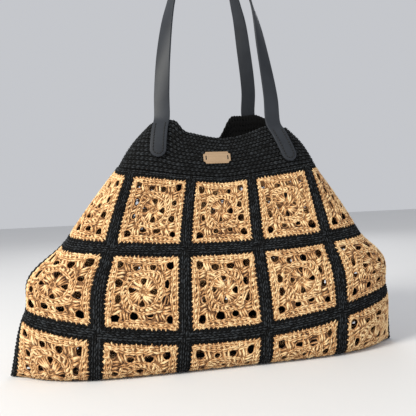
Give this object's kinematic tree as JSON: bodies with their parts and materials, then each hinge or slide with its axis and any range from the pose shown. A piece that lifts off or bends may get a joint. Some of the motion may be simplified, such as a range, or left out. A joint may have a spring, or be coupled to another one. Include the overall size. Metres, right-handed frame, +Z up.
{
  "type": "crochet bag",
  "caption": "Crochet shoulder bag of tan granny squares edged in black, with a drawn-in black yoke, black leather straps and a small blank plaque.",
  "frame": {"origin": "middle of the foot of the whole bag's box, on the surface that it stands on", "axes": "+Z up, +X to the right as the front is seen, +Y from the front to the back"},
  "size_m": [0.5402, 0.2044, 0.5894],
  "materials": {
    "tan_cord": "matt",
    "black_cord": "matt",
    "strap_leather": "satin",
    "plaque_wood": "matt"
  },
  "bodies": {
    "root": {"square_front_1_1": "tan_cord", "square_front_1_2": "tan_cord", "square_front_1_3": "tan_cord", "square_front_1_4": "tan_cord", "square_front_1_5": "tan_cord", "square_front_2_1": "tan_cord", "square_front_2_2": "tan_cord", "square_front_2_3": "tan_cord", "square_front_2_4": "tan_cord", "square_front_2_5": "tan_cord", "square_front_3_1": "tan_cord", "square_front_3_2": "tan_cord", "square_front_3_3": "tan_cord", "square_front_3_4": "tan_cord", "square_front_3_5": "tan_cord", "edging_front": "black_cord", "square_back_1_1": "tan_cord", "square_back_1_2": "tan_cord", "square_back_1_3": "tan_cord", "square_back_1_4": "tan_cord", "square_back_1_5": "tan_cord", "square_back_2_1": "tan_cord", "square_back_2_2": "tan_cord", "square_back_2_3": "tan_cord", "square_back_2_4": "tan_cord", "square_back_2_5": "tan_cord", "square_back_3_1": "tan_cord", "square_back_3_2": "tan_cord", "square_back_3_3": "tan_cord", "square_back_3_4": "tan_cord", "square_back_3_5": "tan_cord", "edging_back": "black_cord", "yoke": "black_cord", "strap_front": "strap_leather", "strap_back": "strap_leather", "plaque": "plaque_wood"}
  },
  "joints": []
}
